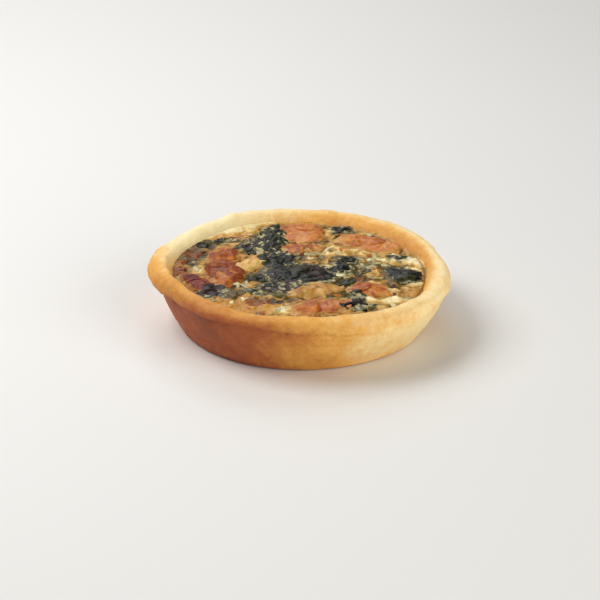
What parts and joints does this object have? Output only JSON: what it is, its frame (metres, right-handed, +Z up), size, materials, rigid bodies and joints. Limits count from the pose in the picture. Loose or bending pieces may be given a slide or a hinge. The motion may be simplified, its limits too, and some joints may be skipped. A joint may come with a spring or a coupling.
{
  "type": "salmon quiche",
  "caption": "Whole individual salmon and spinach quiche: a round shortcrust case with a thumbed lip, baked custard, and flakes of salmon and clumps of spinach sunk in its top.",
  "frame": {"origin": "middle of the quiche's box, on its flat underside", "axes": "+Z up out of the custard; +X towards the side where the rim is lowest and thinnest; -Y towards the side with the most salmon flakes under the rim"},
  "size_m": [0.1188, 0.1182, 0.0271],
  "materials": {
    "pastry": "baked shortcrust pastry, dry and matt, pale at the crest and browned on the side wall",
    "custard": "set egg custard, lumpy and slightly wet, mottled with cream curds, herbs and brown patches",
    "salmon": "cooked salmon in moist flakes, pink-orange with browned edges",
    "salmon_browned": "cooked salmon, dark red and browned by the oven",
    "salmon_pale": "pale cooked salmon flake under a film of custard",
    "spinach": "wilted spinach leaf, near-black green and wet, with flecks of pale custard"
  },
  "bodies": {
    "root": {"pastry_case": "pastry", "custard": "custard", "salmon_back": "salmon", "salmon_right_back": "salmon", "salmon_left_upper": "salmon", "salmon_left_lower": "salmon", "salmon_front": "salmon", "salmon_right": "salmon", "salmon_browned": "salmon_browned", "salmon_middle": "salmon", "salmon_pale_left": "salmon_pale", "salmon_pale_front": "salmon_pale", "spinach_back": "spinach", "spinach_back_left": "spinach", "spinach_centre": "spinach", "spinach_leaf": "spinach", "spinach_rim": "spinach", "spinach_curl": "spinach", "spinach_right": "spinach", "spinach_front_right": "spinach", "spinach_front_left": "spinach", "spinach_strand": "spinach", "spinach_front": "spinach", "spinach_grey": "spinach"}
  },
  "joints": []
}
